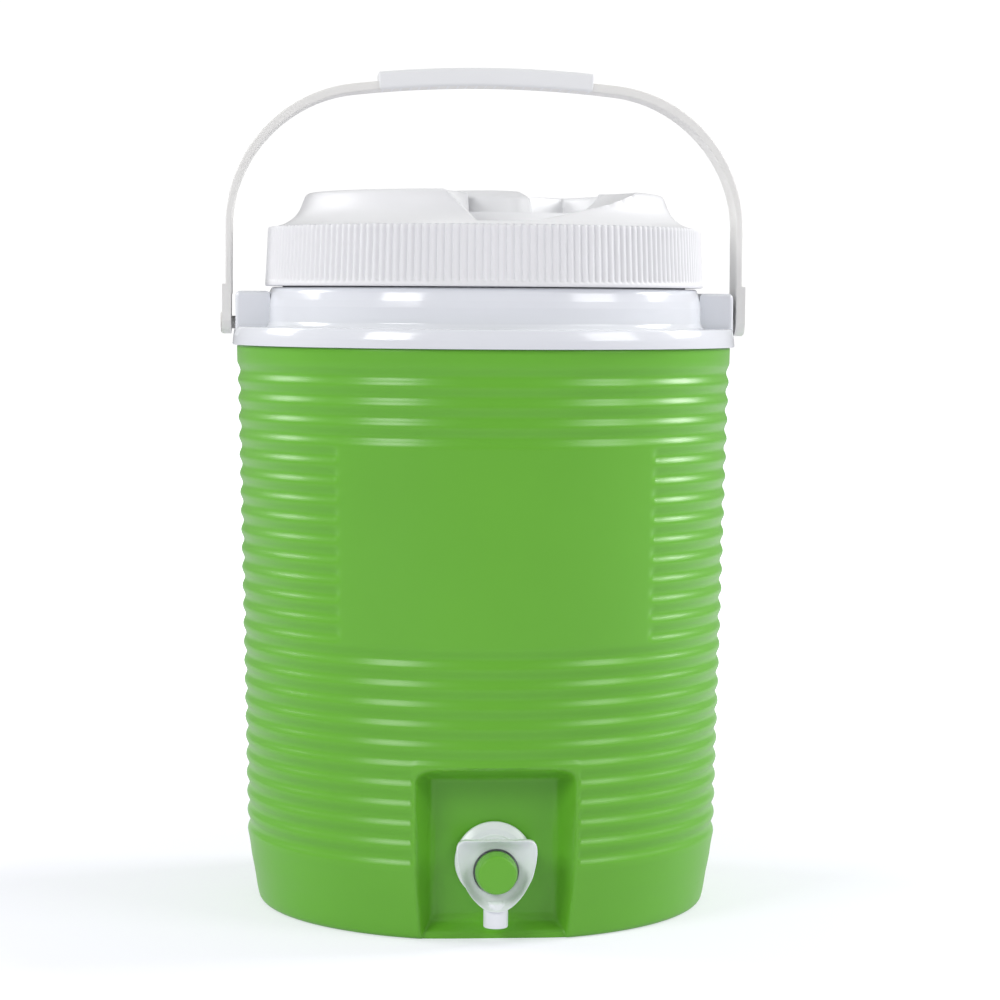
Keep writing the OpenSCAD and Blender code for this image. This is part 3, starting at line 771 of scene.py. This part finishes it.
def strap_circles():
    """Centres and radii of the arcs in the strap's outer face: corner and crown."""
    corner_x, corner_z, corner_r, top = 57.6, 333.8, 70.5, 407.6
    rise = top - corner_z
    crown_r = (corner_x ** 2 + rise ** 2 - corner_r ** 2) / (2 * (rise - corner_r))
    crown_z = top - crown_r
    lean = math.atan2(corner_z - crown_z, corner_x)
    return (corner_x, corner_z, corner_r), (0.0, crown_z, crown_r), lean


def section_loop(bm, width, inner, outer, radius, steps=3):
    """Rounded rectangle in the plane z = 0: inner and outer are its X limits, width is along Y."""
    half = width / 2
    ring = [(inner, 0, 0), (inner, -half, radius), (outer, -half, radius), (outer, half, radius),
            (inner, half, radius), (inner, 0, 0)]
    points = rounded(ring, steps)[:-1]
    verts = [bm.verts.new((x, y, 0)) for x, y in points]
    return bm.faces.new(verts)


def close_sweep(bm):
    """Takes out the faces left inside a swept solid and caps its open ends."""
    inside = [f for f in bm.faces if all(len(e.link_faces) > 2 for e in f.edges)]
    bmesh.ops.delete(bm, geom=inside, context="FACES_ONLY")
    loose = [e for e in bm.edges if not e.link_faces]
    bmesh.ops.delete(bm, geom=loose, context="EDGES")
    bmesh.ops.holes_fill(bm, edges=bm.edges, sides=0)
    bmesh.ops.recalc_face_normals(bm, faces=bm.faces)


def sweep_arc(bm, face, centre, angle, steps):
    """Spins a face about the Y axis through centre and gives back the far end face."""
    out = bmesh.ops.spin(bm, geom=[face], cent=(centre[0], 0, centre[1]), axis=(0, -1, 0),
                         dvec=(0, 0, 0), angle=angle, steps=steps, use_merge=False,
                         use_normal_flip=False, use_duplicate=False)
    return [g for g in out["geom_last"] if isinstance(g, bmesh.types.BMFace)][0]


class WATERJUG_OT_handle(bpy.types.Operator):
    """Builds the bail strap with its pivot ears"""
    bl_idname = "water_jug.handle"
    bl_label = "Handle Strap"

    def execute(self, context):
        (cx, cz, cr), (kx, kz, kr), lean = strap_circles()
        bm = bmesh.new()
        face = section_loop(bm, 22.0, 124.8, 128.1, 0.9)
        bmesh.ops.translate(bm, verts=bm.verts, vec=(0, 0, 300))
        grown = bmesh.ops.extrude_face_region(bm, geom=[face])["geom"]
        bmesh.ops.translate(bm, vec=(0, 0, cz - 300),
                            verts=[g for g in grown if isinstance(g, bmesh.types.BMVert)])
        face = [g for g in grown if isinstance(g, bmesh.types.BMFace)][0]
        corner_end = sweep_arc(bm, face, (cx, cz), lean, 28)
        face = sweep_arc(bm, corner_end, (kx, kz), math.pi / 2 - lean, 14)
        bm.faces.remove(face)
        for v in bm.verts:
            x, z = v.co.x, v.co.z
            if z > cz:
                out = math.hypot(x - cx, z - cz) - cr if x > kr * math.cos(lean) \
                    else math.hypot(x, z - kz) - kr
                if out < -1.5:
                    grow = ease(cz, cz + 60, z) * 1.1
                    c = Vector((cx, cz)) if x > kr * math.cos(lean) else Vector((0, kz))
                    d = (Vector((x, z)) - c).normalized() * grow
                    v.co.x, v.co.z = x - d.x, z - d.y
        bmesh.ops.mirror(bm, geom=bm.verts[:] + bm.edges[:] + bm.faces[:], axis="X",
                         merge_dist=0.02)
        bmesh.ops.remove_doubles(bm, verts=bm.verts, dist=1e-3)
        close_sweep(bm)
        ears = bmesh.new()
        for side in (-1, 1):
            bar = rounded([(-11.0, 305.0, 0), (-10.9, 290.5, 0.1), (-10.6, 286.5, 3),
                           (-7.4, 282.0, 4.5), (0, 280.0, 9), (7.4, 282.0, 4.5), (10.6, 286.5, 3),
                           (10.9, 290.5, 0.1), (11.0, 305.0, 0)], 5)
            flat = ears.faces.new([ears.verts.new((side * 125.2, y, z)) for y, z in bar])
            grown = bmesh.ops.extrude_face_region(ears, geom=[flat])["geom"]
            bmesh.ops.translate(ears, vec=(side * 4.5, 0, 0),
                                verts=[g for g in grown if isinstance(g, bmesh.types.BMVert)])
        bmesh.ops.recalc_face_normals(ears, faces=ears.faces)
        rims = [e for e in ears.edges if abs(abs(e.verts[0].co.x) - 129.7) < 0.01
                and abs(abs(e.verts[1].co.x) - 129.7) < 0.01]
        bmesh.ops.bevel(ears, geom=rims, offset=0.7, segments=3, profile=0.5, affect="EDGES",
                        material=-1, clamp_overlap=True)
        whole = join_shapes(bm, ears)
        make_piece(whole, "bail_strap", "handle", ["handle_strap"],
                   strap_plastic(), 38)
        return {"FINISHED"}


class WATERJUG_OT_grip(bpy.types.Operator):
    """Builds the thicker grip on top of the strap"""
    bl_idname = "water_jug.grip"
    bl_label = "Handle Grip"

    def execute(self, context):
        _, (_, kz, kr), _ = strap_circles()
        bm = bmesh.new()
        start = math.asin(53.0 / kr)
        face = section_loop(bm, 24.6, kr - 4.4, kr + 4.6, 1.9, 5)
        bmesh.ops.rotate(bm, verts=bm.verts, cent=(0, 0, 0),
                         matrix=Matrix.Rotation(-(math.pi / 2 - start), 3, "Y"))
        bmesh.ops.translate(bm, verts=bm.verts, vec=(0, 0, kz))
        sweep_arc(bm, face, (0.0, kz), 2 * start, 36)
        close_sweep(bm)
        caps = [f for f in bm.faces if len(f.verts) > 8]
        rims = list({e for f in caps for e in f.edges})
        bmesh.ops.bevel(bm, geom=rims, offset=1.1, segments=4, profile=0.5, affect="EDGES",
                        material=-1, clamp_overlap=True)
        make_piece(bm, "grip_sleeve", "handle", ["handle_grip"], grip_plastic(), 45)
        return {"FINISHED"}


# ------------------------------------------------------------------ tap

def dish_edge(turn):
    """Distance from the button's axis to the dish's rim, by angle from straight down."""
    a = abs(math.degrees(turn))
    return smooth_along([(0, 18.8), (10, 18.6), (17, 18.2), (35, 16.9), (56, 16.1), (69, 16.2),
                         (82, 16.9), (94, 17.7), (107, 19.3), (118, 21.2), (125, 22.2),
                         (131, 21.9), (137, 20.2), (145, 17.9), (155, 16.1), (167, 14.9),
                         (180, 14.5)], a)


class WATERJUG_OT_tap(bpy.types.Operator):
    """Builds the tap: flange, housing, shield-shaped dish and nozzle"""
    bl_idname = "water_jug.tap"
    bl_label = "Tap Body"

    def execute(self, context):
        # dish, lathed as loops round the button and pulled out to the shield outline
        loops = [(10.5, 9.0, 0.0), (10.5, 0.6, 0.0), (10.65, 0.15, 0.0), (11.1, -0.15, 0.02),
                 (12.0, -0.35, 0.10), (12.4, -1.0, 0.28), (12.4, -2.0, 0.48), (12.4, -3.1, 0.66),
                 (12.4, -4.2, 0.79), (12.4, -5.0, 0.865), (12.4, -5.5, 0.91), (12.4, -5.75, 0.95),
                 (12.4, -5.6, 0.985), (12.4, -5.0, 1.0), (12.4, -3.8, 1.0), (12.4, -1.5, 0.985),
                 (12.4, 0.6, 0.92), (12.4, 2.2, 0.78), (12.4, 3.2, 0.5), (12.4, 3.8, 0.2),
                 (12.6, 6.0, 0.0), (12.6, 13.0, 0.0), (10.5, 13.0, 0.0)]
        dish, row = lathe([(r, -d) for r, d, _ in loops], 144, closed=True)
        for v in dish.verts:
            near, deep, out = loops[v[row]]
            # turned to the front, the lathe's -Y points down
            turn = math.atan2(v.co.x, -v.co.y)
            edge = dish_edge(turn)
            r = near + (edge - near) * out
            v.co.x, v.co.y = r * math.sin(turn), -r * math.cos(turn)
            v.co.y -= 0.8 * (1 - out)
            v.co.z = -deep
        bmesh.ops.rotate(dish, verts=dish.verts, cent=(0, 0, 0),
                         matrix=Matrix.Rotation(math.pi / 2, 3, "X"))
        bmesh.ops.translate(dish, verts=dish.verts, vec=(0, -112.6, 34.0))
        # flange and barrel
        barrel, _ = lathe(rounded([(6, 0, 0), (9, 0, 0.6), (9, -19.4, 0.2), (18.4, -19.4, 0.5),
                                   (18.4, -21.4, 0.8), (15.2, -23.2, 0.5), (12.6, -23.4, 0.8),
                                   (12.4, -27.0, 0.4), (6, -27.0, 0)], 4), 120, closed=True)
        bmesh.ops.rotate(barrel, verts=barrel.verts, cent=(0, 0, 0),
                         matrix=Matrix.Rotation(-math.pi / 2, 3, "X"))
        bmesh.ops.translate(barrel, verts=barrel.verts, vec=(0, -77.0, 35.6))
        nozzle, _ = lathe(rounded([(4.2, 9.0, 0), (4.2, 7.4, 0.3), (5.75, 7.4, 1.4),
                                   (5.75, 15.0, 2), (5.0, 18.6, 2), (4.2, 19.6, 0)], 4), 72,
                          closed=True)
        bmesh.ops.translate(nozzle, verts=nozzle.verts, vec=(0, -111.6, 0))
        whole = join_shapes(join_shapes(dish, barrel), nozzle)
        make_piece(whole, "tap_casting", "jug", ["tap_body"], tap_plastic(), 38)
        return {"FINISHED"}


class WATERJUG_OT_button(bpy.types.Operator):
    """Builds the push button"""
    bl_idname = "water_jug.button"
    bl_label = "Push Button"

    def execute(self, context):
        bm, _ = lathe(rounded([(0, 0, 0), (8.7, 0, 1.3), (9.75, 4.6, 0.8), (9.9, 8.3, 0.3),
                               (9.0, 8.3, 0.3), (9.0, 2.6, 0.4), (0, 2.6, 0)], 6), 96)
        bmesh.ops.rotate(bm, verts=bm.verts, cent=(0, 0, 0),
                         matrix=Matrix.Rotation(-math.pi / 2, 3, "X"))
        bmesh.ops.translate(bm, verts=bm.verts, vec=(0, -121.6, 33.2))
        make_piece(bm, "push_button", "button", ["tap_button"], button_plastic(),
                   40)
        return {"FINISHED"}


# ------------------------------------------------------------------ inner pieces

class WATERJUG_OT_inner_finishes(bpy.types.Operator):
    """Gives the pieces kept from the frame their finishes"""
    bl_idname = "water_jug.inner_finishes"
    bl_label = "Inner Finishes"

    def execute(self, context):
        finishes = {
            "foam_fill_plug": green_shell_plastic, "insulation_foam": foam_finish,
            "inner_liner": liner_plastic, "liner_floor_plate": liner_plastic,
            "collar_thread": gloss_collar_plastic,
            "lid_thread": satin_lid_plastic, "lid_foam": foam_finish,
            "lid_inner_cover": liner_plastic, "lid_gasket": seal_silicone,
            "stopper_seal": seal_silicone, "tap_outer_washer": seal_silicone,
            "tap_inner_washer": seal_silicone, "tap_nut": tap_plastic,
            "valve_stem": tap_plastic, "valve_seal": seal_silicone, "tap_spring": spring_wire,
        }
        for node, finish in finishes.items():
            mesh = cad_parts[node].data
            mesh.materials.clear()
            mesh.materials.append(finish())
        return {"FINISHED"}


# ------------------------------------------------------------------ stage

def softbox(name, bearing, width, height, middle, distance, power):
    """Upright softbox at a bearing from the front, facing the jug's axis."""
    light = bpy.data.lights.new(name, "AREA")
    light.shape = "RECTANGLE"
    light.size, light.size_y = width, height
    light.energy = power
    ob = bpy.data.objects.new(name, light)
    a = math.radians(bearing)
    ob.location = (distance * math.sin(a), -distance * math.cos(a), middle)
    aim = Vector((0, 0, 0.2)) - ob.location
    ob.rotation_euler = aim.to_track_quat("-Z", "Y").to_euler()
    bpy.context.scene.collection.objects.link(ob)
    return ob


def pale_floor_finish(glow):
    """Pale matt floor that glows where the camera sees it, with painted shade: the glow is weaker
    near the jug, and its faint cool tone only shows where the floor is shaded.
    """
    mat = bpy.data.materials.new("pale_floor")
    mat.use_nodes = True
    tree = mat.node_tree
    shader = tree.nodes["Principled BSDF"]
    place = tree.nodes.new("ShaderNodeTexCoord").outputs["Object"]
    tone = place_group(tree, tone_drift_group(), {
        "Position": place, "Base": (0.55, 0.53, 0.59, 1), "Drift": (0.54, 0.52, 0.58, 1),
        "Scale": 3.0})
    tree.links.new(tone.outputs["Color"], shader.inputs["Base Color"])
    shader.inputs["Roughness"].default_value = 0.9
    shader.inputs["Specular IOR Level"].default_value = 0.0
    # painted shade colour: the floor's glow is a cool blue, and that tint is what shows in its
    # shaded parts
    shader.inputs["Emission Color"].default_value = (0.955, 0.985, 1.0, 1)
    seen = tree.nodes.new("ShaderNodeLightPath").outputs["Is Camera Ray"]
    away = add(tree, "ShaderNodeVectorMath", {0: place}, operation="LENGTH").outputs["Value"]
    # painted shade round the jug: the glow is weaker within 0.8 m of the jug's axis, so the floor
    # darkens near its foot
    near = add(tree, "ShaderNodeMapRange", {"Value": away, "From Min": 0.25, "From Max": 0.8,
               "To Min": glow, "To Max": 1.1})
    lift = add(tree, "ShaderNodeMapRange", {"Value": seen, "To Min": glow * 0.5,
               "To Max": near.outputs["Result"]})
    tree.links.new(lift.outputs["Result"], shader.inputs["Emission Strength"])
    return mat


def white_surround(sky):
    """World that looks white, and lights the jug more from above than from below."""
    world = bpy.data.worlds.new("white_surround")
    world.use_nodes = True
    tree = world.node_tree
    lit = tree.nodes["Background"]
    place = tree.nodes.new("ShaderNodeTexCoord").outputs["Generated"]
    height = add(tree, "ShaderNodeSeparateXYZ", {"Vector": place}).outputs["Z"]
    fade = add(tree, "ShaderNodeMapRange", {"Value": height, "From Min": -0.1, "From Max": 0.9,
               "To Min": sky * 0.72, "To Max": sky * 1.5})
    tree.links.new(fade.outputs["Result"], lit.inputs["Strength"])
    lit.inputs["Color"].default_value = (1, 1, 1, 1)
    seen = add(tree, "ShaderNodeBackground", {"Color": (1, 1, 1, 1), "Strength": 1.05})
    ray = tree.nodes.new("ShaderNodeLightPath").outputs["Is Camera Ray"]
    mix = add(tree, "ShaderNodeMixShader", {0: ray, 1: lit.outputs[0], 2: seen.outputs[0]})
    tree.links.new(mix.outputs[0], tree.nodes["World Output"].inputs["Surface"])
    return world


class WATERJUG_OT_stage(bpy.types.Operator):
    """Sets the pale floor, the soft studio lights and the camera"""
    bl_idname = "water_jug.stage"
    bl_label = "Studio"

    def execute(self, context):
        scene = context.scene
        studio = scene.water_jug_studio
        bm = bmesh.new()
        bmesh.ops.create_grid(bm, x_segments=2, y_segments=2, size=12.0)
        mesh = bpy.data.meshes.new("pale_floor")
        bm.to_mesh(mesh)
        bm.free()
        floor = bpy.data.objects.new("pale_floor", mesh)
        scene.collection.objects.link(floor)
        mesh.materials.append(pale_floor_finish(studio.floor_glow))
        scene.world = white_surround(studio.sky)

        turn = math.degrees(studio.camera_bearing)
        for name, bearing, width, share in (("left_softbox", -44, 0.80, 1.0),
                                            ("right_softbox", 61, 0.90, 0.72),
                                            ("left_rim_softbox", -108, 0.70, 0.95),
                                            ("right_rim_softbox", 108, 0.70, 1.6)):
            softbox(name, turn + bearing, width, 0.75, 1.2, 2.0, studio.key_power * share)

        cam = bpy.data.cameras.new("camera")
        cam.lens = studio.lens
        cam.sensor_width = 36.0
        cam.shift_y = studio.camera_shift
        ob = bpy.data.objects.new("camera", cam)
        a = studio.camera_bearing
        ob.location = (studio.camera_distance * math.sin(a), -studio.camera_distance * math.cos(a),
                       studio.camera_height)
        aim = Euler((math.pi / 2 - studio.camera_dip, 0, a - studio.camera_aside)).to_matrix()
        ob.rotation_euler = (aim @ Matrix.Rotation(studio.camera_roll, 3, "Z")).to_euler()
        scene.collection.objects.link(ob)
        scene.camera = ob
        scene.view_settings.view_transform = "Standard"
        scene.view_settings.look = "None"
        return {"FINISHED"}


# ------------------------------------------------------------------ add-on

STEPS = [WATERJUG_OT_shell, WATERJUG_OT_collar, WATERJUG_OT_pins, WATERJUG_OT_lid,
         WATERJUG_OT_stopper, WATERJUG_OT_handle, WATERJUG_OT_grip, WATERJUG_OT_tap,
         WATERJUG_OT_button, WATERJUG_OT_inner_finishes, WATERJUG_OT_stage]


class WATERJUG_PT_panel(bpy.types.Panel):
    """Lists the jug's settings and pieces"""
    bl_idname = "WATERJUG_PT_panel"
    bl_label = "Water Jug"
    bl_space_type = "VIEW_3D"
    bl_region_type = "UI"
    bl_category = "Water Jug"

    def draw(self, context):
        layout = self.layout
        for group in (context.scene.water_jug_sizes, context.scene.water_jug_colours,
                      context.scene.water_jug_studio):
            box = layout.box()
            for key in group.__annotations__:
                box.prop(group, key)
        for step in STEPS:
            layout.operator(step.bl_idname)


CLASSES = [WaterJugSizes, WaterJugColours, WaterJugStudio] + STEPS + [WATERJUG_PT_panel]


def register():
    for cls in CLASSES:
        bpy.utils.register_class(cls)
    bpy.types.Scene.water_jug_sizes = bpy.props.PointerProperty(type=WaterJugSizes)
    bpy.types.Scene.water_jug_colours = bpy.props.PointerProperty(type=WaterJugColours)
    bpy.types.Scene.water_jug_studio = bpy.props.PointerProperty(type=WaterJugStudio)


def unregister():
    del bpy.types.Scene.water_jug_studio
    del bpy.types.Scene.water_jug_colours
    del bpy.types.Scene.water_jug_sizes
    for cls in reversed(CLASSES):
        bpy.utils.unregister_class(cls)


def main():
    register()
    for step in STEPS:
        group, name = step.bl_idname.split(".")
        getattr(getattr(bpy.ops, group), name)()


if __name__ == "__main__":
    main()
